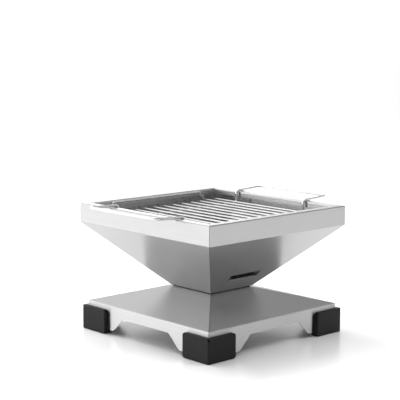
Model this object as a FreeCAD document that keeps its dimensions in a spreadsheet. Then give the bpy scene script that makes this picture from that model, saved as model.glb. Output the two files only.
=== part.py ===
import FreeCAD, Part
import math
import os
import re

import Sketcher

# Table-top fire pit with a lift-off cooking grate, in millimetres.
# Origin: floor centre under the object, +Z up. The hand bars of the grate lie on the left
# (-X) and right (+X), the air louvers in the front (-Y) and back (+Y) sides of the bowl.

DIMENSIONS = [
    # Folded sheet
    ("sheet_gauge", 1.5, "thickness of the stainless sheet"),
    ("bend_inside", 0.8, "inside radius of every fold"),
    ("seam_gap", 0.5, "open seam between two neighbouring panels"),
    # Bowl
    ("rim_side", 330.0, "outside width of the square rim"),
    ("rim_top", 225.8, "height of the top flange above the floor"),
    ("rim_height", 34.0, "height of the rim's vertical skirt"),
    ("flange_width", 16.0, "width of the top flange"),
    ("lip_drop", 10.0, "depth of the lip turned down inside the flange"),
    ("bowl_foot", 80.8, "underside of the bowl"),
    ("neck_side", 101.0, "outside width of the square neck"),
    ("neck_flange", 16.0, "width of the flanges turned in at the neck"),
    ("neck_inset", 2.5, "how far the plates in the neck stay inside its edge"),
    # Base
    ("base_side", 311.0, "outside width of the base's skirt"),
    ("base_top", 79.2, "top of the base"),
    ("base_edge", 50.9, "lower edge of the base's slope"),
    ("skirt_foot", 7.2, "bottom edge of the base's skirt"),
    ("cutout_top", 31.8, "height of the skirt cut-out's top edge"),
    ("cutout_top_half", 59.0, "half width of the cut-out at its top"),
    ("cutout_foot_half", 85.0, "half width of the cut-out at the skirt's bottom edge"),
    ("cutout_round", 4.0, "radius in the cut-out's top corners"),
    ("tab_round", 9.0, "radius where the cut-out meets the skirt's bottom edge"),
    ("relief_height", 46.0, "height of the bend relief at the base's corners"),
    ("relief_radius", 1.5, "radius of the bend relief"),
    # Air louver in the front and back bowl panels
    ("louver_half", 36.5, "half length of the louver's slit"),
    ("louver_lip_half", 24.0, "half length of the pressed-in lip"),
    ("louver_depth", 7.0, "how far the lip is pressed in"),
    ("louver_reach", 16.0, "length of the pressed-in part, along the slope"),
    ("louver_height", 105.5, "height of the slit above the floor"),
    # Neck fasteners, M6
    ("bolt_offset", 42.0, "distance of each bolt from the centre line"),
    ("bolt_hole", 3.3, "radius of the bolt holes"),
    ("bolt_shank", 3.0, "radius of the bolt"),
    ("bolt_length", 16.0, "length of the bolt under its head"),
    ("hex_width", 10.0, "width across flats of head and nut"),
    ("head_height", 4.0, "height of the bolt's head"),
    ("washer_radius", 6.0, "outside radius of the washer"),
    ("washer_height", 1.6, "thickness of the washer"),
    ("nut_height", 5.0, "height of the nut"),
    ("thread_clearance", 0.05, "radial gap between bolt and nut"),
    # Rubber corner shoes
    ("foot_leg", 62.3, "outside length of each leg of the shoe"),
    ("foot_height", 42.6, "height of the shoe"),
    ("foot_proud", 7.3, "how far the shoe stands out from the skirt"),
    ("foot_depth", 14.0, "whole thickness of the shoe's wall"),
    ("groove_clearance", 0.1, "gap on each side of the sheet in the groove"),
    ("foot_face_round", 5.0, "corner radius of the shoe's faces"),
    ("foot_corner_round", 3.0, "radius of the shoe's upright corner"),
    ("foot_edge_round", 1.2, "radius of the shoe's long edges"),
    ("foot_vent_radius", 1.8, "radius of the vent bored through the shoe's upright corner"),
    ("foot_vent_drop", 3.4, "how far the vent's axis lies below the shoe's top"),
    # Cooking grate
    ("rod_radius", 2.0, "radius of a grill rod"),
    ("rod_pitch", 23.0, "distance between grill rods"),
    ("rod_half", 146.5, "half length of a grill rod"),
    ("rod_height", 207.4, "height of the grill rods' centres"),
    ("rod_chamfer", 0.5, "chamfer on the cut ends of every straight rod"),
    ("weld_sink", 0.3, "how far crossing wires sink into each other when welded"),
    ("handle_radius", 2.4, "radius of the handle wire"),
    ("handle_gap", 0.3, "gap between the handle wire and the flange it rests on"),
    ("handle_leg", 84.0, "half distance between a handle's two legs"),
    ("handle_inside", 144.5, "distance of the upright legs from the centre"),
    ("handle_knee", 168.0, "where the legs start to rise outside the flange"),
    ("handle_reach", 208.0, "distance of the hand bar from the centre"),
    ("handle_rise", 2.5, "rise of the hand bar above the legs on the flange"),
    ("leg_bend", 7.0, "bend radius of the upright legs"),
    ("knee_bend", 30.0, "bend radius of the knee"),
    ("corner_bend", 10.0, "bend radius at the ends of the hand bar"),
    ("guard_radius", 2.0, "radius of the guard wire"),
    ("guard_half", 107.0, "half length of the guard's raised bar"),
    ("guard_height", 222.5, "height of the guard's raised bar"),
    ("guard_offset", 144.5, "distance of the guard from the centre"),
    ("guard_bend", 4.0, "bend radius at the ends of the guard's raised bar"),
    ("kink_foot", 5.5, "height above the rods where the guard's legs kink"),
    ("kink_rise", 3.0, "height that the kink takes"),
    ("kink_bend", 3.0, "bend radius of the kinks"),
    # Charcoal grate
    ("charcoal_radius", 2.5, "radius of the charcoal grate's rods"),
    ("charcoal_pitch", 17.0, "distance between its rods"),
    ("charcoal_height", 124.5, "height of its rods' centres"),
    ("charcoal_bar_offset", 60.0, "distance of its two cross bars from the centre"),
    ("slope_clearance", 0.6, "gap between the grate's ends and the bowl's slope"),
]

GRILL_ROD_STEPS = range(-6, 7)
CHARCOAL_ROD_STEPS = range(-5, 6)
SIDES = [("front", 0), ("right", 90), ("back", 180), ("left", 270)]
CORNERS = [("front_left", 0), ("front_right", 90), ("back_right", 180), ("back_left", 270)]
LOUVERED_SIDES = ("front", "back")
END_WALL_GROWTH = 1.5
ROOF_WALL_GROWTH = 2

X_AXIS = FreeCAD.Vector(1, 0, 0)
Y_AXIS = FreeCAD.Vector(0, 1, 0)
Z_AXIS = FreeCAD.Vector(0, 0, 1)
TOLERANCE = 0.01

doc = FreeCAD.newDocument("fire_pit")
sizes = doc.addObject("Spreadsheet::Sheet", "Sizes")
pieces = []


def fill_sheet():
    """One row for each driving dimension: what it is, its value and its alias."""
    for row, (alias, number, meaning) in enumerate(DIMENSIONS, start=1):
        sizes.set(f"A{row}", meaning)
        sizes.set(f"B{row}", str(number))
        sizes.setAlias(f"B{row}", alias)
    doc.recompute()


ALIASES = {alias for alias, _, _ in DIMENSIONS}


def linked(formula):
    """The formula with every dimension's name pointing into the sheet."""
    return re.sub(r"[a-z_]+", lambda word: f"Sizes.{word[0]}" if word[0] in ALIASES else word[0], formula)


def bind(item, path, formula):
    item.setExpression(path, linked(formula))


def value(formula):
    """What a formula of dimensions comes to at present."""
    return float(sizes.evalExpression(formula))


def point(x, y, z):
    return FreeCAD.Vector(value(x), value(y), value(z))


# Formulas used by several pieces. The walls slope, so a horizontal cut through the sheet is
# wider than its gauge.
RIM_BOTTOM = "rim_top - rim_height"
BOWL_RUN = "((rim_side - neck_side) / 2)"
BOWL_RISE = f"({RIM_BOTTOM} - bowl_foot)"
SLOPE_WIDTH = f"sheet_gauge * sqrt({BOWL_RUN} ^ 2 + {BOWL_RISE} ^ 2) / {BOWL_RISE}"


def bowl_inside(height):
    """Half width of the bowl's inside at a height."""
    return f"(neck_side / 2 + ({height} - bowl_foot) * {BOWL_RUN} / {BOWL_RISE} - {SLOPE_WIDTH})"


# Sketches ------------------------------------------------------------------------------------

def new_body(label):
    body = doc.addObject("PartDesign::Body", label)
    body.Label = label
    return body


def new_sketch(body, name, plane, offset=None):
    """A sketch on one of the body's own origin planes, raised by a formula if one is given."""
    sketch = body.newObject("Sketcher::SketchObject", name)
    support = next(item for item in body.Origin.OriginFeatures if item.Role == plane)
    sketch.AttachmentSupport = [(support, "")]
    sketch.MapMode = "FlatFace"
    if offset:
        bind(sketch, "AttachmentOffset.Base.z", offset)
    return sketch


def pin(sketch, edge, end, formulas):
    """Holds one end of an edge at a place given by two formulas."""
    for kind, formula in zip(("DistanceX", "DistanceY"), formulas):
        index = sketch.addConstraint(Sketcher.Constraint(kind, -1, 1, edge, end, value(formula)))
        name = f"edge{edge}_{kind}"
        sketch.renameConstraint(index, name)
        bind(sketch, f"Constraints.{name}", formula)


def add_outline(sketch, corners):
    """A closed outline with straight sides. Each corner is a pair of formulas."""
    first = sketch.GeometryCount
    points = [FreeCAD.Vector(value(across), value(up), 0) for across, up in corners]
    for start, end in zip(points, points[1:] + points[:1]):
        sketch.addGeometry(Part.LineSegment(start, end), False)
    for step, formulas in enumerate(corners):
        following = first + (step + 1) % len(corners)
        sketch.addConstraint(Sketcher.Constraint("Coincident", first + step, 2, following, 1))
        pin(sketch, first + step, 1, formulas)


def add_circle(sketch, centre, radius):
    circle = Part.Circle(FreeCAD.Vector(value(centre[0]), value(centre[1]), 0), Z_AXIS, value(radius))
    edge = sketch.addGeometry(circle, False)
    pin(sketch, edge, 3, centre)
    index = sketch.addConstraint(Sketcher.Constraint("Radius", edge, value(radius)))
    name = f"edge{edge}_radius"
    sketch.renameConstraint(index, name)
    bind(sketch, f"Constraints.{name}", radius)


def inner_points(outer, gauge):
    """The outer polyline moved one gauge to its left, seen from its start."""
    sideways = []
    for start, end in zip(outer, outer[1:]):
        along = (end - start).normalize()
        sideways.append(FreeCAD.Vector(-along.y, along.x, 0))
    result = [outer[0] + sideways[0] * gauge]
    for corner, before, after in zip(outer[1:], sideways, sideways[1:]):
        half_turn = before.getAngle(after) / 2
        result.append(corner + (before + after).normalize() * (gauge / math.cos(half_turn)))
    result.append(outer[-1] + sideways[-1] * gauge)
    return result


def add_folded_sheet(sketch, corners):
    """The section of a folded sheet: its outer line is given, its inner line lies one gauge inside.

    Returns the folds as (outer corner, inner corner) pairs.
    """
    outer = [FreeCAD.Vector(value(across), value(up), 0) for across, up in corners]
    inner = inner_points(outer, value("sheet_gauge"))
    runs = len(outer) - 1
    loop = outer + inner[::-1]
    for start, end in zip(loop, loop[1:] + loop[:1]):
        sketch.addGeometry(Part.LineSegment(start, end), False)
    for edge in range(len(loop)):
        sketch.addConstraint(Sketcher.Constraint("Coincident", edge, 2, (edge + 1) % len(loop), 1))
    for edge, formulas in enumerate(corners):
        pin(sketch, edge, 1, formulas)
    for run in range(runs):
        inner_edge = 2 * runs - run
        sketch.addConstraint(Sketcher.Constraint("Parallel", run, inner_edge))
        index = sketch.addConstraint(
            Sketcher.Constraint("Distance", inner_edge, 2, run, value("sheet_gauge")))
        sketch.renameConstraint(index, f"gauge{run}")
        bind(sketch, f"Constraints.gauge{run}", "sheet_gauge")
    sketch.addConstraint(Sketcher.Constraint("Perpendicular", runs - 1, runs))
    sketch.addConstraint(Sketcher.Constraint("Perpendicular", 0, len(loop) - 1))
    return list(zip(outer, inner))[1:-1]


# Features ------------------------------------------------------------------------------------

def pad_both_ways(body, sketch, length):
    pad = body.newObject("PartDesign::Pad", sketch.Name + "_pad")
    pad.Profile = sketch
    pad.SideType = "Symmetric"
    bind(pad, "Length", length)
    doc.recompute()


def cut_through(body, sketch):
    """A pocket through everything on the positive side of its sketch's plane."""
    before = body.Tip.Shape.Volume
    pocket = body.newObject("PartDesign::Pocket", sketch.Name + "_cut")
    pocket.Profile = sketch
    pocket.Type = "ThroughAll"
    pocket.Reversed = True
    doc.recompute()
    if pocket.Shape.Volume > before - TOLERANCE:
        raise ValueError(f"{sketch.Name} cuts nothing")


def edges_along(shape, axis, places):
    """Names of the straight edges that run along an axis and cross one of the given places."""
    names = []
    for number, edge in enumerate(shape.Edges, start=1):
        if not isinstance(edge.Curve, Part.Line) or abs(edge.Curve.Direction.dot(axis)) < 1 - TOLERANCE:
            continue
        middle = edge.CenterOfMass
        for place in places:
            gap = middle - place
            if (gap - axis * gap.dot(axis)).Length < TOLERANCE:
                names.append(f"Edge{number}")
                break
    return names


def round_edges(body, name, axis, places, radius):
    base = body.Tip
    names = edges_along(base.Shape, axis, places)
    fillet = body.newObject("PartDesign::Fillet", name)
    fillet.Base = (base, names)
    bind(fillet, "Radius", radius)
    doc.recompute()


def keep(item, label, turn=0.0):
    """Names a finished piece, turns it about the object's middle and files it for export."""
    item.Label = label
    item.Placement = FreeCAD.Placement(FreeCAD.Vector(), FreeCAD.Rotation(Z_AXIS, turn))
    pieces.append(item)


# Sheet panels ----------------------------------------------------------------------------------

BOWL_SECTION = [
    ("-rim_side / 2 + flange_width", "rim_top - lip_drop"),
    ("-rim_side / 2 + flange_width", "rim_top"),
    ("-rim_side / 2", "rim_top"),
    ("-rim_side / 2", RIM_BOTTOM),
    ("-neck_side / 2", "bowl_foot"),
    ("-neck_side / 2 + neck_flange", "bowl_foot"),
]
BASE_SECTION = [
    ("-neck_side / 2 + neck_flange", "base_top"),
    ("-neck_side / 2", "base_top"),
    ("-base_side / 2", "base_edge"),
    ("-base_side / 2", "skirt_foot"),
]
SEAM_SHIFT = "seam_gap * sqrt(2) / 2"


def folded_panel(label, section, width):
    """A front panel: folded section, padded to its full width, with mitred ends and a bolt hole."""
    body = new_body(label)
    profile = new_sketch(body, label + "_section", "YZ_Plane")
    folds = add_folded_sheet(profile, section)
    doc.recompute()
    pad_both_ways(body, profile, width)
    outer = [FreeCAD.Vector(0, corner.x, corner.y) for corner, _ in folds]
    inner = [FreeCAD.Vector(0, corner.x, corner.y) for _, corner in folds]
    round_edges(body, label + "_outer_bends", X_AXIS, outer, "bend_inside + sheet_gauge")
    round_edges(body, label + "_inner_bends", X_AXIS, inner, "bend_inside")
    plan = new_sketch(body, label + "_plan", "XY_Plane")
    add_outline(plan, [
        (f"-{width}", f"-{width} - {SEAM_SHIFT}"),
        ("0", f"-{SEAM_SHIFT}"),
        (width, f"-{width} - {SEAM_SHIFT}"),
        (width, width),
        (f"-{width}", width),
    ])
    add_circle(plan, ("0", "-bolt_offset"), "bolt_hole")
    cut_through(body, plan)
    return body


def louver_wedge(name, growth):
    """The pressed-in pocket of a louver as a wedge on the front slope, with its walls grown outwards.

    The wedge's end and roof walls lean, so there they grow by more than the gauge.
    """
    wedge = doc.addObject("Part::Wedge", name)
    bind(wedge, "Xmin", f"-louver_half - {growth} * {END_WALL_GROWTH}")
    bind(wedge, "Xmax", f"louver_half + {growth} * {END_WALL_GROWTH}")
    bind(wedge, "X2min", f"-louver_lip_half - {growth}")
    bind(wedge, "X2max", f"louver_lip_half + {growth}")
    wedge.Ymin = 0
    bind(wedge, "Ymax", f"louver_depth + {growth}")
    wedge.Zmin = 0
    bind(wedge, "Zmax", f"louver_reach + {growth} * {ROOF_WALL_GROWTH}")
    wedge.Z2min = 0
    wedge.Z2max = 0
    slit_half = f"neck_side / 2 + (louver_height - bowl_foot) * {BOWL_RUN} / {BOWL_RISE}"
    wedge.Placement = FreeCAD.Placement(FreeCAD.Vector(), FreeCAD.Rotation(X_AXIS, 45))
    bind(wedge, "Placement.Base.y", f"-({slit_half})")
    bind(wedge, "Placement.Base.z", "louver_height")
    bind(wedge, "Placement.Rotation.Angle", f"atan({BOWL_RUN} / {BOWL_RISE})")
    return wedge


def add_louver(panel):
    """Presses a louver into a bowl panel: the hood stands inside, open towards the neck."""
    hood = doc.addObject("Part::Fuse", panel.Name + "_hood")
    hood.Base = panel
    hood.Tool = louver_wedge(panel.Name + "_hood_wedge", "sheet_gauge")
    louver = doc.addObject("Part::Cut", panel.Name + "_louver")
    louver.Base = hood
    louver.Tool = louver_wedge(panel.Name + "_pocket_wedge", "0")
    return louver


def bowl_panel(side, turn):
    name = f"bowl_panel_{side}"
    if side in LOUVERED_SIDES:
        panel = folded_panel(name + "_blank", BOWL_SECTION, "rim_side")
        keep(add_louver(panel), name, turn)
    else:
        keep(folded_panel(name, BOWL_SECTION, "rim_side"), name, turn)


def base_panel(side, turn):
    """A base panel: the folded panel with a trapezoid cut-out and a bend relief at each end."""
    name = f"base_panel_{side}"
    body = folded_panel(name, BASE_SECTION, "base_side")
    front = new_sketch(body, name + "_cutout", "XZ_Plane")
    add_outline(front, [
        ("-cutout_foot_half", "skirt_foot"),
        ("-cutout_foot_half", "0"),
        ("cutout_foot_half", "0"),
        ("cutout_foot_half", "skirt_foot"),
        ("cutout_top_half", "cutout_top"),
        ("-cutout_top_half", "cutout_top"),
    ])
    add_circle(front, ("-base_side / 2", "relief_height"), "relief_radius")
    add_circle(front, ("base_side / 2", "relief_height"), "relief_radius")
    cut_through(body, front)
    top_corners = [point(f"{sign} * cutout_top_half", "0", "cutout_top") for sign in (-1, 1)]
    foot_corners = [point(f"{sign} * cutout_foot_half", "0", "skirt_foot") for sign in (-1, 1)]
    round_edges(body, name + "_cutout_rounds", Y_AXIS, top_corners, "cutout_round")
    round_edges(body, name + "_tab_rounds", Y_AXIS, foot_corners, "tab_round")
    keep(body, name, turn)


def neck_sheet(label, half, foot, height):
    """A square plate in the neck with a hole for each bolt."""
    body = new_body(label)
    plan = new_sketch(body, label + "_plan", "XY_Plane", foot)
    add_outline(plan, [
        (f"-({half})", f"-({half})"),
        (half, f"-({half})"),
        (half, half),
        (f"-({half})", half),
    ])
    for centre in (("0", "-bolt_offset"), ("bolt_offset", "0"), ("0", "bolt_offset"), ("-bolt_offset", "0")):
        add_circle(plan, centre, "bolt_hole")
    pad = body.newObject("PartDesign::Pad", label + "_pad")
    pad.Profile = plan
    bind(pad, "Length", height)
    doc.recompute()
    keep(body, label)


# Fasteners -------------------------------------------------------------------------------------

def hexagon(name, height):
    """A hexagonal prism whose width across flats is the spanner size."""
    prism = doc.addObject("Part::Prism", name)
    prism.Polygon = 6
    bind(prism, "Circumradius", "hex_width / sqrt(3)")
    bind(prism, "Height", height)
    return prism


def cylinder(name, radius, height):
    item = doc.addObject("Part::Cylinder", name)
    bind(item, "Radius", radius)
    bind(item, "Height", height)
    return item


def fastener_group(label, make):
    """Four alike fasteners, one in the middle of each side of the neck."""
    group = doc.addObject("Part::Compound", label)
    links = []
    for side, turn in SIDES:
        fastener = make(f"{label}_{side}")
        angle = math.radians(turn)
        bind(fastener, "Placement.Base.x", f"bolt_offset * {round(math.sin(angle))}")
        bind(fastener, "Placement.Base.y", f"-bolt_offset * {round(math.cos(angle))}")
        links.append(fastener)
    group.Links = links
    keep(group, label)


HEAD_SEAT = "(bowl_foot + 2 * sheet_gauge)"
NUT_SEAT = "(base_top - sheet_gauge - washer_height)"


def neck_bolt(name):
    head = hexagon(name + "_head", "head_height")
    bind(head, "Placement.Base.z", HEAD_SEAT)
    shank = cylinder(name + "_shank", "bolt_shank", "bolt_length + head_height / 2")
    bind(shank, "Placement.Base.z", f"{HEAD_SEAT} - bolt_length")
    bolt = doc.addObject("Part::Fuse", name)
    bolt.Base = head
    bolt.Tool = shank
    return bolt


def ring(name, outside, hole_radius, height, foot):
    """A washer or nut: an outside shape with a round hole through it."""
    bind(outside, "Placement.Base.z", foot)
    hole = cylinder(name + "_hole", hole_radius, height)
    bind(hole, "Placement.Base.z", foot)
    item = doc.addObject("Part::Cut", name)
    item.Base = outside
    item.Tool = hole
    return item


def neck_washer(name):
    disc = cylinder(name + "_disc", "washer_radius", "washer_height")
    return ring(name, disc, "bolt_hole", "washer_height", NUT_SEAT)


def neck_nut(name):
    prism = hexagon(name + "_prism", "nut_height")
    return ring(name, prism, "bolt_shank + thread_clearance", "nut_height", f"{NUT_SEAT} - nut_height")


# Rubber corner shoes ---------------------------------------------------------------------------

def add_corner_outline(sketch, outer, wall, leg):
    """An L round the front left corner: outer face, wall thickness and leg length."""
    add_outline(sketch, [
        (f"-({outer})", f"-({outer})"),
        (f"-({outer}) + {leg}", f"-({outer})"),
        (f"-({outer}) + {leg}", f"-({outer}) + {wall}"),
        (f"-({outer}) + {wall}", f"-({outer}) + {wall}"),
        (f"-({outer}) + {wall}", f"-({outer}) + {leg}"),
        (f"-({outer})", f"-({outer}) + {leg}"),
    ])


def rubber_foot(corner, turn):
    """An L-shaped shoe with a groove from above for the corner of the base's skirt."""
    label = f"rubber_foot_{corner}"
    name = label + "_shoe"
    outer = "base_side / 2 + foot_proud"
    body = new_body(name)
    plan = new_sketch(body, name + "_plan", "XY_Plane")
    add_corner_outline(plan, outer, "foot_depth", "foot_leg")
    pad = body.newObject("PartDesign::Pad", name + "_pad")
    pad.Profile = plan
    bind(pad, "Length", "foot_height")
    doc.recompute()
    leg_end = value(f"-({outer}) + foot_leg")
    top = value("foot_height")
    face_corners = [FreeCAD.Vector(leg_end, 0, 0), FreeCAD.Vector(leg_end, 0, top)]
    round_edges(body, name + "_x_leg_rounds", Y_AXIS, face_corners, "foot_face_round")
    face_corners = [FreeCAD.Vector(0, leg_end, 0), FreeCAD.Vector(0, leg_end, top)]
    round_edges(body, name + "_y_leg_rounds", X_AXIS, face_corners, "foot_face_round")
    upright = [point(f"-({outer})", f"-({outer})", "0")]
    round_edges(body, name + "_upright_round", Z_AXIS, upright, "foot_corner_round")
    outer_face = value(f"-({outer})")
    soften_outline(body, name + "_edge_rounds", outer_face)
    groove = new_sketch(body, name + "_groove", "XY_Plane", "skirt_foot")
    groove_outer = "base_side / 2 + groove_clearance"
    add_corner_outline(groove, groove_outer, "sheet_gauge + 2 * groove_clearance", "foot_leg")
    cut_through(body, groove)
    keep(with_vent(body, label, outer), label, turn)


def with_vent(shoe, label, outer):
    """The shoe with a short bore along the diagonal, from its upright corner into the groove."""
    bore = cylinder(label + "_bore", "foot_vent_radius", "foot_proud * sqrt(2) + sheet_gauge")
    inwards = FreeCAD.Vector(1, 1, 0)
    bore.Placement = FreeCAD.Placement(FreeCAD.Vector(), FreeCAD.Rotation(Z_AXIS, inwards))
    start = (f"-({outer})", f"-({outer})", "foot_height - foot_vent_drop")
    for letter, formula in zip("xyz", start):
        bind(bore, f"Placement.Base.{letter}", formula)
    vented = doc.addObject("Part::Cut", label)
    vented.Base = shoe
    vented.Tool = bore
    return vented


def soften_outline(body, name, outer_face):
    """Rounds the whole outline of the shoe's two outer faces."""
    base = body.Tip
    names = []
    for number, edge in enumerate(base.Shape.Edges, start=1):
        box = edge.BoundBox
        on_x_face = abs(box.XMin - outer_face) < TOLERANCE and box.XLength < TOLERANCE
        on_y_face = abs(box.YMin - outer_face) < TOLERANCE and box.YLength < TOLERANCE
        if (on_x_face or on_y_face) and not is_corner_upright(edge, outer_face):
            names.append(f"Edge{number}")
    fillet = body.newObject("PartDesign::Fillet", name)
    fillet.Base = (base, names)
    bind(fillet, "Radius", "foot_edge_round")
    doc.recompute()


def is_corner_upright(edge, outer_face):
    """Whether an edge is one of the uprights beside the rounded outer corner."""
    box = edge.BoundBox
    near_corner = outer_face + value("foot_corner_round") + TOLERANCE
    return box.ZLength > TOLERANCE and box.XMax < near_corner and box.YMax < near_corner


# Bent wires ------------------------------------------------------------------------------------

def bent_path(name, corners, radii):
    """A path of straight runs joined by tangent arcs, one radius for each inner corner."""
    edges = []
    start = corners[0]
    for before, corner, after, radius in zip(corners, corners[1:], corners[2:], radii):
        incoming = (corner - before).normalize()
        outgoing = (after - corner).normalize()
        half_turn = incoming.getAngle(outgoing) / 2
        setback = radius * math.tan(half_turn)
        first = corner - incoming * setback
        last = corner + outgoing * setback
        towards_centre = (outgoing - incoming).normalize()
        middle = corner + towards_centre * (radius / math.cos(half_turn) - radius)
        edges.append(Part.LineSegment(start, first).toShape())
        edges.append(Part.Arc(first, middle, last).toShape())
        start = last
    edges.append(Part.LineSegment(start, corners[-1]).toShape())
    path = doc.addObject("Part::Feature", name)
    path.Shape = Part.Wire(edges)
    return path


def bent_wire(label, corners, radii, wire_radius, turn=0.0):
    """A round wire along a bent path."""
    path = bent_path(label + "_path", corners, radii)
    section = doc.addObject("Part::Circle", label + "_section")
    bind(section, "Radius", wire_radius)
    along = corners[1] - corners[0]
    section.Placement = FreeCAD.Placement(corners[0], FreeCAD.Rotation(Z_AXIS, along))
    wire = doc.addObject("Part::Sweep", label)
    wire.Sections = [section]
    wire.Spine = path
    wire.Solid = True
    wire.Frenet = False
    keep(wire, label, turn)
    doc.recompute()
    check_wire_volume(wire, path, value(wire_radius))


def check_wire_volume(wire, path, radius):
    expected = math.pi * radius ** 2 * path.Shape.Length
    if abs(wire.Shape.Volume / expected - 1) > TOLERANCE:
        raise ValueError(f"{wire.Label} has volume {wire.Shape.Volume:.1f}, not {expected:.1f}")


def handle_wire(side, turn):
    """The right handle: from under the middle rod, over the rim, round the hand bar and back."""
    under = "rod_height - rod_radius - handle_radius + weld_sink"
    over = "rim_top + handle_radius + handle_gap"
    half_route = [
        ("0", under),
        ("handle_inside", under),
        ("handle_inside", over),
        ("handle_knee", over),
        ("handle_reach", f"{over} + handle_rise"),
    ]
    corners = [point(x, "-handle_leg", z) for x, z in half_route]
    corners += [point(x, "handle_leg", z) for x, z in reversed(half_route)]
    half_radii = ["leg_bend", "leg_bend", "knee_bend", "corner_bend"]
    radii = [value(radius) for radius in half_radii + half_radii[::-1]]
    bent_wire(f"handle_wire_{side}", corners, radii, "handle_radius", turn)


def guard_wire(side, turn):
    """The front guard: a raised bar whose legs kink outwards onto the rods below."""
    seat = "rod_height + rod_radius - weld_sink"
    half_route = [
        ("rod_pitch * 5", seat),
        ("rod_pitch * 5", "rod_height + kink_foot"),
        ("guard_half", "rod_height + kink_foot + kink_rise"),
        ("guard_half", "guard_height"),
    ]
    corners = [point(f"-1 * {x}", "-guard_offset", z) for x, z in half_route]
    corners += [point(x, "-guard_offset", z) for x, z in reversed(half_route)]
    half_radii = ["kink_bend", "kink_bend", "guard_bend"]
    radii = [value(radius) for radius in half_radii + half_radii[::-1]]
    bent_wire(f"guard_wire_{side}", corners, radii, "guard_radius", turn)


# Straight rods ---------------------------------------------------------------------------------

def straight_rod(label, axis, radius, half, offset, height):
    """A rod centred on the object, along X or Y, at a sideways offset and a height, with chamfered ends."""
    blank = cylinder(label + "_blank", radius, f"2 * {half}")
    if axis == "X":
        turned = FreeCAD.Rotation(Y_AXIS, 90)
        start = (f"-1 * {half}", offset, height)
    else:
        turned = FreeCAD.Rotation(X_AXIS, -90)
        start = (offset, f"-1 * {half}", height)
    blank.Placement = FreeCAD.Placement(FreeCAD.Vector(), turned)
    for letter, formula in zip("xyz", start):
        bind(blank, f"Placement.Base.{letter}", formula)
    doc.recompute()
    rod = doc.addObject("Part::Chamfer", label)
    rod.Base = blank
    chamfer = value("rod_chamfer")
    rod.Edges = [
        (number, chamfer, chamfer)
        for number, edge in enumerate(blank.Shape.Edges, start=1)
        if isinstance(edge.Curve, Part.Circle)
    ]
    keep(rod, label)


def grill_rods():
    for number, step in enumerate(GRILL_ROD_STEPS, start=1):
        straight_rod(f"grill_rod_{number:02d}", "Y", "rod_radius", "rod_half",
                     f"rod_pitch * {step}", "rod_height")


def charcoal_grate():
    """Rods along X that end just short of the sloping walls, on two cross bars along Y."""
    rod_half = f"({bowl_inside('(charcoal_height - charcoal_radius)')} - slope_clearance)"
    for number, step in enumerate(CHARCOAL_ROD_STEPS, start=1):
        straight_rod(f"charcoal_rod_{number:02d}", "X", "charcoal_radius", rod_half,
                     f"charcoal_pitch * {step}", "charcoal_height")
    bar_height = "charcoal_height - 2 * charcoal_radius + weld_sink"
    bar_half = f"({bowl_inside(f'({bar_height} - charcoal_radius)')} - slope_clearance)"
    for side, sign in (("left", -1), ("right", 1)):
        straight_rod(f"charcoal_bar_{side}", "Y", "charcoal_radius", bar_half,
                     f"charcoal_bar_offset * {sign}", bar_height)


# Assembly --------------------------------------------------------------------------------------

def build():
    fill_sheet()
    for side, turn in SIDES:
        bowl_panel(side, turn)
        base_panel(side, turn)
    neck_sheet("bowl_floor_plate", "neck_side / 2 - neck_inset", "bowl_foot + sheet_gauge", "sheet_gauge")
    neck_sheet("neck_plate", "neck_side / 2 - neck_inset", "base_top", "bowl_foot - base_top")
    fastener_group("neck_bolts", neck_bolt)
    fastener_group("neck_washers", neck_washer)
    fastener_group("neck_nuts", neck_nut)
    for corner, turn in CORNERS:
        rubber_foot(corner, turn)
    grill_rods()
    for side, turn in (("right", 0), ("left", 180)):
        handle_wire(side, turn)
    for side, turn in (("front", 0), ("back", 180)):
        guard_wire(side, turn)
    charcoal_grate()
    doc.recompute()


def check():
    """Stops if any object failed or any piece isn't a valid solid."""
    for item in doc.Objects:
        if "Invalid" in item.State or "Error" in item.State:
            raise ValueError(f"{item.Label} failed: {item.State}")
    for piece in pieces:
        if piece.Shape.isNull() or not piece.Shape.isValid() or not piece.Shape.Solids:
            raise ValueError(f"{piece.Label} has no valid shape")


def export():
    os.makedirs("parts", exist_ok=True)
    for piece in pieces:
        piece.Shape.exportStep(f"parts/{piece.Label}.step")
        print(f"{piece.Label}: {len(piece.Shape.Solids)} solid(s), {piece.Shape.Volume:.0f} mm3")


build()
check()
export()
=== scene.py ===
import math
import random

import bmesh
import bpy
from mathutils import Matrix, Vector


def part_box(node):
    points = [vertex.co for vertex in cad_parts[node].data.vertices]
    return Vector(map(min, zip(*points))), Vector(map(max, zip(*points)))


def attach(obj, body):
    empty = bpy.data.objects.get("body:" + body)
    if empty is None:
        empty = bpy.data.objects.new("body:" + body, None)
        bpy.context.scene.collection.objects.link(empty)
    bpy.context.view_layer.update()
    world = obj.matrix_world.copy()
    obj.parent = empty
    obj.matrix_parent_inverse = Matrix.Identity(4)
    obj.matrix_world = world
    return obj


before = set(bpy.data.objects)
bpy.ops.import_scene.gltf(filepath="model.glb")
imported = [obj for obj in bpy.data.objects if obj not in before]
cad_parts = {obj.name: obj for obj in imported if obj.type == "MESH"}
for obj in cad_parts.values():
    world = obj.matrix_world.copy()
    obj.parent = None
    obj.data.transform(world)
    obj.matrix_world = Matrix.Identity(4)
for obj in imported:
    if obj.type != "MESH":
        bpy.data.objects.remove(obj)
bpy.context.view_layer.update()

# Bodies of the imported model
PIT = "fire_pit"
GRATE = "cooking_grate"
COALS = "charcoal_grate"

# Camera: a long lens, looking down a little on the corner between the front and left sides
CAMERA_PLACE = (-1.4521, -1.5035, 0.5375)
CAMERA_TURN = math.radians(-43.4107)
CAMERA_TILT = math.radians(90 - 8.2905)
CAMERA_ROLL = math.radians(0.4083)
CAMERA_LENS = 108.26
CAMERA_SENSOR = 36
CAMERA_REACH = 100

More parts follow.
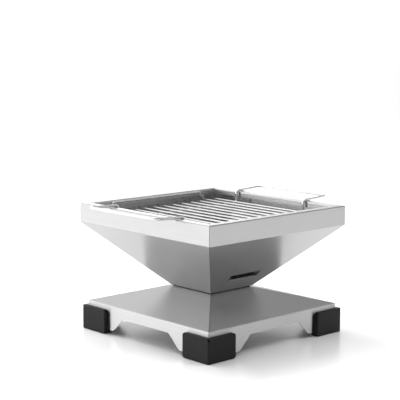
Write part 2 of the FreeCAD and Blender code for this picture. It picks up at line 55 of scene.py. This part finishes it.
# Studio: how bright the room is at each height (the sine of the angle above the horizon)
# and on each side (degrees anticlockwise from +X)
STUDIO_HEIGHTS = [(0.0, 3.0), (0.17, 2.8), (0.25, 2.0), (0.48, 1.25), (0.73, 1.25), (0.88, 1.7),
                  (0.94, 3.5), (1.0, 3.5)]
STUDIO_SIDES = [(0, 0.42), (36, 0.33), (45, 0.8), (65, 0.95), (90, 1.0), (135, 0.95), (180, 0.6),
                (225, 0.2), (270, 0.12), (315, 0.38), (360, 0.42)]
STUDIO_PEAK = 8.0

# Area lights: name, place, the spot each one faces, its two sides, and its watts
LIGHTS = [
    ("key", (-0.2, 1.6, 2.8), (-0.9, 0.8, 0), (1.2, 1.2), 62),
    ("fill", (1.1, -1.4, 2.4), (0.6, -0.6, 0), (1.4, 1.4), 25),
]

# The floor lies a hair under the feet, so that the two don't share a plane
FLOOR_HALF, FLOOR_DROP = 12.0, 0.0003


# Camera and light ------------------------------------------------------------------------------

def make_camera():
    """The camera, turned, tilted and then rolled a little."""
    data = bpy.data.cameras.new("camera")
    data.lens = CAMERA_LENS
    data.sensor_width = CAMERA_SENSOR
    data.clip_end = CAMERA_REACH
    camera = bpy.data.objects.new("camera", data)
    turn = Matrix.Rotation(CAMERA_TURN, 4, "Z")
    tilt = Matrix.Rotation(CAMERA_TILT, 4, "X")
    roll = Matrix.Rotation(CAMERA_ROLL, 4, "Z")
    camera.matrix_world = Matrix.Translation(CAMERA_PLACE) @ turn @ tilt @ roll
    bpy.context.scene.collection.objects.link(camera)
    bpy.context.scene.camera = camera


def make_light(name, place, target, size, power):
    """A rectangular area light that lights the scene but isn't mirrored in the steel."""
    data = bpy.data.lights.new(name, "AREA")
    data.shape = "RECTANGLE"
    data.size, data.size_y = size
    data.energy = power
    light = bpy.data.objects.new(name, data)
    light.visible_glossy = False
    light.location = place
    light.rotation_euler = (Vector(target) - Vector(place)).to_track_quat("-Z", "Y").to_euler()
    bpy.context.scene.collection.objects.link(light)


def math_node(tree, operation, *terms):
    """The result of a math node whose terms are sockets and numbers."""
    node = tree.nodes.new("ShaderNodeMath")
    node.operation = operation
    for socket, term in zip(node.inputs, terms):
        if isinstance(term, bpy.types.NodeSocket):
            tree.links.new(term, socket)
        else:
            socket.default_value = term
    return node.outputs["Value"]


def curve_node(tree, source, spots, scale):
    """Follows a socket along a curve through the spots (place, level), with levels divided by scale."""
    node = tree.nodes.new("ShaderNodeFloatCurve")
    points = node.mapping.curves[0].points
    points[0].location = (spots[0][0], spots[0][1] / scale)
    points[1].location = (spots[-1][0], spots[-1][1] / scale)
    for place, level in spots[1:-1]:
        points.new(place, level / scale)
    for spot in points:
        spot.handle_type = "VECTOR"
    node.mapping.update()
    tree.links.new(source, node.inputs["Value"])
    return node.outputs["Value"]


def make_world():
    """A studio round the object: its level at a height times its level on a side."""
    world = bpy.data.worlds.new("studio")
    world.use_nodes = True
    tree = world.node_tree
    direction = tree.nodes.new("ShaderNodeTexCoord").outputs["Generated"]
    axes = tree.nodes.new("ShaderNodeSeparateXYZ")
    tree.links.new(direction, axes.inputs["Vector"])
    height_level = curve_node(tree, axes.outputs["Z"], STUDIO_HEIGHTS, STUDIO_PEAK)

    angle = math_node(tree, "ARCTAN2", axes.outputs["Y"], axes.outputs["X"])
    turn = math_node(tree, "WRAP", angle, 2 * math.pi, 0)
    share = math_node(tree, "DIVIDE", turn, 2 * math.pi)
    side_spots = [(degrees / 360, level) for degrees, level in STUDIO_SIDES]
    side_level = curve_node(tree, share, side_spots, 1)

    level = math_node(tree, "MULTIPLY", height_level, side_level)
    strength = math_node(tree, "MULTIPLY", level, STUDIO_PEAK)
    background = tree.nodes["Background"]
    background.inputs["Color"].default_value = (1, 1, 1, 1)
    tree.links.new(strength, background.inputs["Strength"])
    bpy.context.scene.world = world


# Materials -------------------------------------------------------------------------------------

# A Mix node's sockets by number, because its number and colour sockets share their names
MIX_SHARE, MIX_FIRST, MIX_SECOND, MIX_COLOUR = 0, 6, 7, 2

# How far greys spread below and above a level, along the ground grain and over wire
GRAIN_SPREAD = (0.95, 1.04)
WIRE_SPREAD = (0.92, 1.05)

# The ground grain of sheet: noise cells per metre across and along it, its depth,
# and how far shading rounds an edge
GRAIN_ACROSS, GRAIN_ALONG = 900, 7
GRAIN_DEPTH, SHEET_EDGE = 0.00001, 0.0004


class Shader:
    """A small helper round one material's node tree."""

    def __init__(self, name):
        self.material = bpy.data.materials.new(name)
        self.material.use_nodes = True
        self.tree = self.material.node_tree
        self.surface = self.tree.nodes["Principled BSDF"]
        self.place = self.add("ShaderNodeTexCoord").outputs["Object"]

    def add(self, kind, **settings):
        """A new node with these settings."""
        node = self.tree.nodes.new(kind)
        for name, setting in settings.items():
            setattr(node, name, setting)
        return node

    def link(self, source, target):
        self.tree.links.new(source, target)

    def set(self, **inputs):
        """Constant inputs of the surface shader, such as Base_Color or Coat_Weight."""
        for name, number in inputs.items():
            self.surface.inputs[name.replace("_", " ")].default_value = number

    def noise(self, scale, detail=3.0, stretch=(1, 1, 1), roughness=0.55):
        """Noise in object space, with the cells per metre that scale and stretch give."""
        mapping = self.add("ShaderNodeMapping")
        mapping.inputs["Scale"].default_value = stretch
        self.link(self.place, mapping.inputs["Vector"])
        noise = self.add("ShaderNodeTexNoise")
        noise.inputs["Scale"].default_value = scale
        noise.inputs["Detail"].default_value = detail
        noise.inputs["Roughness"].default_value = roughness
        self.link(mapping.outputs["Vector"], noise.inputs["Vector"])
        return noise.outputs["Fac"]

    def ramp(self, source, low, high, start=0.3, end=0.7):
        """Maps a value between start and end to a value between low and high."""
        node = self.add("ShaderNodeMapRange")
        node.inputs["From Min"].default_value = start
        node.inputs["From Max"].default_value = end
        node.inputs["To Min"].default_value = low
        node.inputs["To Max"].default_value = high
        self.link(source, node.inputs["Value"])
        return node.outputs["Result"]

    def tint(self, source, first, second):
        """A colour between two others, chosen by a value from 0 to 1."""
        node = self.add("ShaderNodeMix", data_type="RGBA")
        for socket_number, colour in ((MIX_FIRST, first), (MIX_SECOND, second)):
            if isinstance(colour, bpy.types.NodeSocket):
                self.link(colour, node.inputs[socket_number])
            else:
                node.inputs[socket_number].default_value = (*colour, 1)
        self.link(source, node.inputs[MIX_SHARE])
        return node.outputs[MIX_COLOUR]

    def math(self, operation, *terms):
        """A sum, product and so on of sockets and numbers."""
        return math_node(self.tree, operation, *terms)

    def bump(self, height, distance, strength=1.0, edge_radius=0.0):
        """Relief of so many metres, over edges that shading rounds by edge_radius."""
        node = self.add("ShaderNodeBump")
        node.inputs["Strength"].default_value = strength
        node.inputs["Distance"].default_value = distance
        self.link(height, node.inputs["Height"])
        if edge_radius:
            bevel = self.add("ShaderNodeBevel", samples=4)
            bevel.inputs["Radius"].default_value = edge_radius
            self.link(bevel.outputs["Normal"], node.inputs["Normal"])
        self.link(node.outputs["Normal"], self.surface.inputs["Normal"])


def grey(level):
    """The colour whose three parts are all this level."""
    return (level, level, level)


def greys(level, spread):
    """Two greys, a little below and above a level."""
    return [grey(level * share) for share in spread]


# The bowl's slope, in metres: half widths of its foot and rim, and their heights
BOWL_FOOT_HALF, BOWL_FOOT_HEIGHT = 0.0505, 0.0808
BOWL_RIM_HALF, BOWL_RIM_HEIGHT = 0.165, 0.1918
SHEET_DEPTH = 0.002155    # through the sloping sheet, measured level
# Painted shade darkens the bowl's inside fully up to the first height, and not at all from the second
PAINTED_SHADE_LOW, PAINTED_SHADE_HIGH = 0.104, 0.122
# Painted light on the skirt fades in between these distances inside the skirt's outer face
SKIRT_FADE_START, SKIRT_FADE_END = 0.003, 0.0015
# The sheet's own grey, then painted light on the bowl's inside, painted shade low in the bowl, and
# painted light on the base's skirt
SHEET_LEVEL, PAINTED_INSIDE_LIGHT, PAINTED_SHADE_LEVEL, PAINTED_SKIRT_LIGHT = 0.46, 0.62, 0.012, 0.54


def square_distance(shader):
    """How far out a point is, by the larger of X and Y regardless of sign, and its height."""
    axes = shader.add("ShaderNodeSeparateXYZ")
    shader.link(shader.place, axes.inputs["Vector"])
    across = shader.math("MAXIMUM", shader.math("ABSOLUTE", axes.outputs["X"]),
                         shader.math("ABSOLUTE", axes.outputs["Y"]))
    return across, axes.outputs["Z"]


def bowl_painted_light_and_shade(shader):
    """Painted light that makes the bowl's inside brighter, and low down in there painted shade that
    darkens the steel.
    """
    across, height = square_distance(shader)
    lean = (BOWL_RIM_HALF - BOWL_FOOT_HALF) / (BOWL_RIM_HEIGHT - BOWL_FOOT_HEIGHT)
    slope = shader.math("MULTIPLY_ADD", height, lean, BOWL_FOOT_HALF - lean * BOWL_FOOT_HEIGHT)
    depth = shader.math("SUBTRACT", shader.math("MINIMUM", slope, BOWL_RIM_HALF), across)
    inside = shader.ramp(depth, 0, 1, SHEET_DEPTH * 0.3, SHEET_DEPTH * 0.6)
    low = shader.ramp(height, 1, 0, PAINTED_SHADE_LOW, PAINTED_SHADE_HIGH)
    return [(inside, PAINTED_INSIDE_LIGHT), (shader.math("MULTIPLY", inside, low), PAINTED_SHADE_LEVEL)]


def base_painted_light(shader):
    """Painted light that makes the base's upright skirt a little brighter than its slopes."""
    across, _ = square_distance(shader)
    skirt_half = -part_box("base_panel_front")[0][1]
    skirt = shader.ramp(across, 0, 1, skirt_half - SKIRT_FADE_START, skirt_half - SKIRT_FADE_END)
    return [(skirt, PAINTED_SKIRT_LIGHT)]


def satin_steel(name, grain_axis, level=SHEET_LEVEL, roughness=0.24, zones=None):
    """Stainless sheet with a fine ground grain along one axis and faint handling smudges.

    Zones, if given, is a function that says where painted light or shade gives the sheet another
    brightness.
    """
    shader = Shader(name)
    stretch = [GRAIN_ACROSS] * 3
    stretch["XYZ".index(grain_axis)] = GRAIN_ALONG
    grain = shader.noise(1.0, detail=4, stretch=stretch, roughness=0.65)
    smudge = shader.noise(9.0, detail=2)
    shader.set(Metallic=1.0, Anisotropic=0.95, Anisotropic_Rotation=0.25)
    shade = shader.ramp(grain, 0, 1)
    colour = shader.tint(shade, *greys(level, GRAIN_SPREAD))
    for mask, zone_level in zones(shader) if zones else ():
        zone_colour = shader.tint(shade, *greys(zone_level, GRAIN_SPREAD))
        colour = shader.tint(mask, colour, zone_colour)
    shader.link(colour, shader.surface.inputs["Base Color"])
    grained = shader.ramp(grain, roughness - 0.02, roughness + 0.03)
    smudged = shader.ramp(smudge, -0.01, 0.02, 0.4, 0.8)
    shader.link(shader.math("ADD", grained, smudged), shader.surface.inputs["Roughness"])
    tangent = shader.add("ShaderNodeCombineXYZ")
    tangent.inputs[grain_axis].default_value = 1.0
    shader.link(tangent.outputs["Vector"], shader.surface.inputs["Tangent"])
    shader.bump(grain, GRAIN_DEPTH, 0.6, edge_radius=SHEET_EDGE)
    return shader.material


def drawn_wire(name, level=0.62, roughness=0.16):
    """Drawn and polished stainless wire with faint die lines and small dull patches."""
    shader = Shader(name)
    lines = shader.noise(420.0, detail=3)
    patches = shader.noise(35.0, detail=3)
    shader.set(Metallic=1.0)
    colour = shader.tint(shader.ramp(patches, 0, 1), *greys(level, WIRE_SPREAD))
    shader.link(colour, shader.surface.inputs["Base Color"])
    lined = shader.ramp(lines, roughness - 0.03, roughness + 0.05)
    dulled = shader.ramp(patches, 0, 0.06, 0.5, 0.8)
    shader.link(shader.math("ADD", lined, dulled), shader.surface.inputs["Roughness"])
    shader.bump(lines, 0.00002, 0.5, edge_radius=0.0003)
    return shader.material


def weld_metal(name, dark, light):
    """Weld beads: rough steel whose heat tint wanders between two colours."""
    shader = Shader(name)
    tone = shader.noise(160.0, detail=3)
    shader.set(Metallic=1.0)
    colour = shader.tint(shader.ramp(tone, 0, 1), dark, light)
    shader.link(colour, shader.surface.inputs["Base Color"])
    shader.link(shader.ramp(tone, 0.3, 0.5), shader.surface.inputs["Roughness"])
    shader.bump(tone, 0.0001, 0.6)
    return shader.material


def moulded_rubber():
    """Matt black rubber with a fine moulded grain and slightly polished patches."""
    shader = Shader("moulded_rubber")
    grain = shader.noise(1600.0, detail=4)
    cloud = shader.noise(26.0, detail=3)
    shader.set(IOR=1.5, Specular_IOR_Level=0.2)
    colour = shader.tint(shader.ramp(cloud, 0, 1), grey(0.006), grey(0.01))
    shader.link(colour, shader.surface.inputs["Base Color"])
    grained = shader.ramp(grain, 0.42, 0.56)
    polished = shader.ramp(cloud, -0.04, 0.04)
    shader.link(shader.math("ADD", grained, polished), shader.surface.inputs["Roughness"])
    shader.bump(grain, 0.00006, 0.7, edge_radius=0.0003)
    return shader.material


def pale_floor():
    """A nearly white floor, faintly clouded."""
    shader = Shader("pale_floor")
    cloud = shader.noise(3.0, detail=2)
    shader.link(shader.tint(cloud, grey(0.86), grey(0.9)), shader.surface.inputs["Base Color"])
    shader.link(shader.ramp(cloud, 0.2, 0.26), shader.surface.inputs["Roughness"])
    return shader.material


def dress(node_names, material):
    """Gives CAD nodes a material in every one of their material slots."""
    for name in node_names:
        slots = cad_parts[name].data.materials
        if not slots:
            slots.append(material)
        for index in range(len(slots)):
            slots[index] = material


def nodes_named(*starts):
    """The CAD nodes whose names start in one of these ways, in order of name."""
    return [name for name in sorted(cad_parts) if name.startswith(starts)]


# Detail pieces ---------------------------------------------------------------------------------

# Weld beads: length of a stretch and of a ripple, points round one, how far ripples swell it,
# how uneven they are, and how far a bead runs past its route and tapers, in bead radii
BEAD_STEP, BEAD_RIPPLE, BEAD_SIDES = 0.0006, 0.0017, 8
BEAD_SWELL, BEAD_UNEVEN = 0.09, 0.03
BEAD_OVERRUN, BEAD_TAPER = 0.3, 2
BOWL_BEAD, FLOOR_BEAD, BASE_BEAD = 0.001, 0.0011, 0.0013

# The wires' radii in the CAD, and the nuggets where wires meet: half sizes along X, Y and Z, and,
# where wires cross, how far a nugget's middle lies above the upper wire's lower edge
HANDLE_RADIUS, ROD_RADIUS = 0.0024, 0.002
NUGGET_LIFT = 0.00015
ROD_NUGGET = (0.0021, 0.0023, 0.0008)
BUTT_NUGGET = (0.0013, 0.00258, 0.00258)
GUARD_NUGGET = (0.0019, 0.0021, 0.0008)
COAL_NUGGET = (0.0024, 0.0024, 0.0009)
NUGGET_ROWS, NUGGET_SIDES = 8, 16

# Bolt threads: pitch, radii at the root and the crest, how deep the ridge is sunk in the shank,
# half the width of its foot as a share of the pitch, its top's share of that, and steps per turn
THREAD_PITCH, THREAD_ROOT, THREAD_CREST, THREAD_SINK = 0.001, 0.003, 0.0032, 0.0003
THREAD_FOOT, THREAD_TOP, THREAD_STEPS = 0.42, 0.12, 24
BOLT_OFFSET = 0.042


def mm(*numbers):
    """A place given in millimetres."""
    return Vector(numbers) / 1000


def detail_piece(name, shape, body, material):
    """A smooth mesh piece made from a bmesh, riding on a body."""
    mesh = bpy.data.meshes.new(name)
    bmesh.ops.recalc_face_normals(shape, faces=shape.faces)
    shape.to_mesh(mesh)
    shape.free()
    mesh.shade_smooth()
    mesh.materials.append(material)
    piece = bpy.data.objects.new(name, mesh)
    bpy.context.scene.collection.objects.link(piece)
    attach(piece, body)


def bridge(shape, first, second):
    """Faces between two rings of vertices, or between a ring and a single vertex."""
    count = max(len(first), len(second))
    for index in range(count):
        after = (index + 1) % count
        if len(first) == 1:
            shape.faces.new((first[0], second[index], second[after]))
        elif len(second) == 1:
            shape.faces.new((first[index], first[after], second[0]))
        else:
            shape.faces.new((first[index], first[after], second[after], second[index]))


def bead_stations(route):
    """Places along a route with its direction there and the way gone, and the route's length."""
    stations = []
    travelled = 0.0
    for start, end in zip(route, route[1:]):
        run = end - start
        count = max(2, round(run.length / BEAD_STEP))
        for index in range(count):
            share = index / count
            stations.append((start + run * share, run.normalized(), travelled + run.length * share))
        travelled += run.length
    stations.append((route[-1], (route[-1] - route[-2]).normalized(), travelled))
    return stations, travelled


def add_bead(shape, route, side, radius, draw):
    """A rippled weld bead with tapered ends, along a route in the plane whose normal is side."""
    stations, length = bead_stations(route)
    overrun, taper = BEAD_OVERRUN * radius, BEAD_TAPER * radius
    rings = [[shape.verts.new(route[0] - stations[0][1] * overrun)]]
    for place, along, distance in stations:
        end_share = min(1.0, (min(distance, length - distance) + overrun) / taper) ** 0.5
        swell = BEAD_SWELL * math.sin(2 * math.pi * distance / BEAD_RIPPLE)
        reach = radius * end_share * (1 + swell + draw.uniform(-BEAD_UNEVEN, BEAD_UNEVEN))
        up = along.cross(side)
        ring = []
        for index in range(BEAD_SIDES):
            angle = 2 * math.pi * index / BEAD_SIDES
            out = side * math.cos(angle) + up * math.sin(angle)
            ring.append(shape.verts.new(place + out * reach))
        rings.append(ring)
    rings.append([shape.verts.new(route[-1] + stations[-1][1] * overrun)])
    for first, second in zip(rings, rings[1:]):
        bridge(shape, first, second)


def add_nugget(shape, centre, reach, draw):
    """A lens of squeezed-out weld metal, whose half sizes along X, Y and Z are in reach."""
    wobble = [draw.uniform(0.92, 1.06) for _ in range(NUGGET_SIDES)]
    pole = Vector((0, 0, reach[2]))
    rings = [[shape.verts.new(centre + pole)]]
    for row in range(1, NUGGET_ROWS):
        slope = math.pi * row / NUGGET_ROWS
        ring = []
        for index in range(NUGGET_SIDES):
            angle = 2 * math.pi * index / NUGGET_SIDES
            out = math.sin(slope) * wobble[index]
            offset = Vector((reach[0] * out * math.cos(angle), reach[1] * out * math.sin(angle),
                             reach[2] * math.cos(slope)))
            ring.append(shape.verts.new(centre + offset))
        rings.append(ring)
    rings.append([shape.verts.new(centre - pole)])
    for first, second in zip(rings, rings[1:]):
        bridge(shape, first, second)


def add_thread(shape, axis_place, low, high):
    """Thread turns round an upright shank, as one closed ridge with faded ends."""
    count = round((high - low) / THREAD_PITCH * THREAD_STEPS)
    fade_steps = THREAD_STEPS / 2
    sunk = THREAD_ROOT - THREAD_SINK
    rings = []
    for index in range(count + 1):
        angle = 2 * math.pi * index / THREAD_STEPS
        height = low + (high - low) * index / count
        fade = min(1.0, index / fade_steps, (count - index) / fade_steps)
        crest = THREAD_ROOT + (THREAD_CREST - THREAD_ROOT) * fade
        half = THREAD_PITCH * THREAD_FOOT * max(fade, 0.05)
        half_top = half * THREAD_TOP
        out = Vector((math.cos(angle), math.sin(angle), 0))
        ring = []
        for away, rise in [(sunk, -half), (crest, -half_top), (crest, half_top), (sunk, half)]:
            ring.append(shape.verts.new(axis_place + out * away + Vector((0, 0, height + rise))))
        rings.append(ring)
    for first, second in zip(rings, rings[1:]):
        bridge(shape, first, second)
    shape.faces.new(rings[0])
    shape.faces.new(rings[-1])


def corner_route(sign_x, sign_y, spots):
    """Places on the upright plane through one corner: (half width, height) in mm."""
    return [mm(sign_x * half, sign_y * half, height) for half, height in spots]


CORNERS = [(-1, -1), (1, -1), (1, 1), (-1, 1)]
# Places as half width and height in mm: up the bowl's slope and upright rim, in under its flange
# and down behind the lip
BOWL_SEAM = [
    (48.9, 81.9),
    (162.7, 191.9),
    (163.3, 193.4),
    (163.3, 223.7),
    (151.0, 223.7),
    (151.0, 216.4),
]
# The same for the base: down under its slope and behind its skirt
BASE_SEAM = [
    (51.2, 76.9),
    (152.6, 49.5),
    (153.7, 48.2),
    (153.7, 43.2),
]


def make_seam_welds():
    """The welds inside the bowl's and the base's corner seams, and round the bowl's floor plate."""
    draw = random.Random(4)
    bowl, base = bmesh.new(), bmesh.new()
    for sign_x, sign_y in CORNERS:
        side = Vector((-sign_y, sign_x, 0)).normalized()
        add_bead(bowl, corner_route(sign_x, sign_y, BOWL_SEAM), side, BOWL_BEAD, draw)
        add_bead(base, corner_route(sign_x, sign_y, BASE_SEAM), side, BASE_BEAD, draw)
    low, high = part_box("bowl_floor_plate")
    half, top = high[0], high[2]
    ring = [Vector((sign_x * half, sign_y * half, top)) for sign_x, sign_y in CORNERS]
    add_bead(bowl, ring + ring[:1], Vector((0, 0, 1)), FLOOR_BEAD, draw)
    bright = weld_metal("bowl_weld", grey(0.3), grey(0.42))
    oxidised = weld_metal("oxidised_weld", (0.012, 0.012, 0.014), (0.04, 0.036, 0.032))
    detail_piece("bowl_seam_welds", bowl, PIT, bright)
    detail_piece("base_seam_welds", base, PIT, oxidised)


def centre_of(node):
    """The middle of a CAD node's box."""
    low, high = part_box(node)
    return (Vector(low) + Vector(high)) / 2


def make_wire_welds():
    """A nugget of weld metal wherever two wires of a grate cross or meet."""
    draw = random.Random(9)
    bright = weld_metal("wire_weld", grey(0.42), grey(0.6))
    shape = bmesh.new()
    handle_low, handle_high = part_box("handle_wire_left")
    leg = handle_high[1] - HANDLE_RADIUS
    for rod in nodes_named("grill_rod"):
        centre = centre_of(rod)
        for sign in (-1, 1):
            place = Vector((centre.x, sign * leg, centre.z - ROD_RADIUS + NUGGET_LIFT))
            add_nugget(shape, place, ROD_NUGGET, draw)
    for sign in (-1, 1):
        place = Vector((0, sign * leg, handle_low[2] + HANDLE_RADIUS))
        add_nugget(shape, place, BUTT_NUGGET, draw)
    for guard in nodes_named("guard_wire"):
        low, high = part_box(guard)
        for sign in (-1, 1):
            end = sign * (high[0] - ROD_RADIUS)
            place = Vector((end, (low[1] + high[1]) / 2, low[2] + NUGGET_LIFT))
            add_nugget(shape, place, GUARD_NUGGET, draw)
    detail_piece("grate_welds", shape, GRATE, bright)

    shape = bmesh.new()
    for rod in nodes_named("charcoal_rod"):
        rod_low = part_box(rod)[0]
        for bar in nodes_named("charcoal_bar"):
            place = Vector((centre_of(bar).x, centre_of(rod).y, rod_low[2] + NUGGET_LIFT))
            add_nugget(shape, place, COAL_NUGGET, draw)
    detail_piece("charcoal_welds", shape, COALS, bright)


def make_threads(material):
    """The thread turns on the bolt ends below the nuts."""
    nut_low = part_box("neck_nuts")[0]
    bolt_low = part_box("neck_bolts")[0]
    start = bolt_low[2] + THREAD_PITCH * 0.6
    shape = bmesh.new()
    for x, y in [(0, -1), (1, 0), (0, 1), (-1, 0)]:
        add_thread(shape, Vector((x, y, 0)) * BOLT_OFFSET, start, nut_low[2])
    detail_piece("bolt_threads", shape, PIT, material)


# Stage -----------------------------------------------------------------------------------------

def make_floor(material):
    """A wide flat floor under the feet."""
    mesh = bpy.data.meshes.new("floor")
    corners = [(x * FLOOR_HALF, y * FLOOR_HALF, -FLOOR_DROP) for x, y in CORNERS]
    mesh.from_pydata(corners, [], [(0, 1, 2, 3)])
    mesh.materials.append(material)
    floor = bpy.data.objects.new("floor", mesh)
    bpy.context.scene.collection.objects.link(floor)


def dress_model():
    """Gives every CAD node its material, and returns the bolts' material."""
    for part, roughness, zones in (("bowl", 0.24, bowl_painted_light_and_shade), ("base", 0.36, base_painted_light)):
        for grain_axis, sides in (("X", ("front", "back")), ("Y", ("left", "right"))):
            name = f"{part}_satin_{grain_axis}"
            steel = satin_steel(name, grain_axis, roughness=roughness, zones=zones)
            dress([f"{part}_panel_{side}" for side in sides], steel)
    dress(["bowl_floor_plate"], satin_steel("floor_satin", "X", zones=bowl_painted_light_and_shade))
    # The neck plate is painted nearly black, a painted shadow for the gap between bowl and base
    dress(["neck_plate"], satin_steel("painted_shadow_steel", "Y", level=0.04, roughness=0.45))
    polished = drawn_wire("polished_wire", level=0.74, roughness=0.18)
    dress(nodes_named("grill_rod", "handle_wire", "guard_wire"), polished)
    dress(nodes_named("charcoal_"), drawn_wire("charcoal_wire", level=0.5, roughness=0.25))
    fastener = drawn_wire("fastener_steel")
    dress(nodes_named("neck_bolts", "neck_washers", "neck_nuts"), fastener)
    dress(nodes_named("rubber_foot"), moulded_rubber())
    return fastener


def main():
    """Builds the studio, dresses the model and adds the details that the CAD leaves out."""
    bpy.context.scene.view_settings.view_transform = "Standard"
    make_camera()
    make_world()
    for light in LIGHTS:
        make_light(*light)
    make_floor(pale_floor())
    fastener = dress_model()
    make_seam_welds()
    make_wire_welds()
    make_threads(fastener)


main()
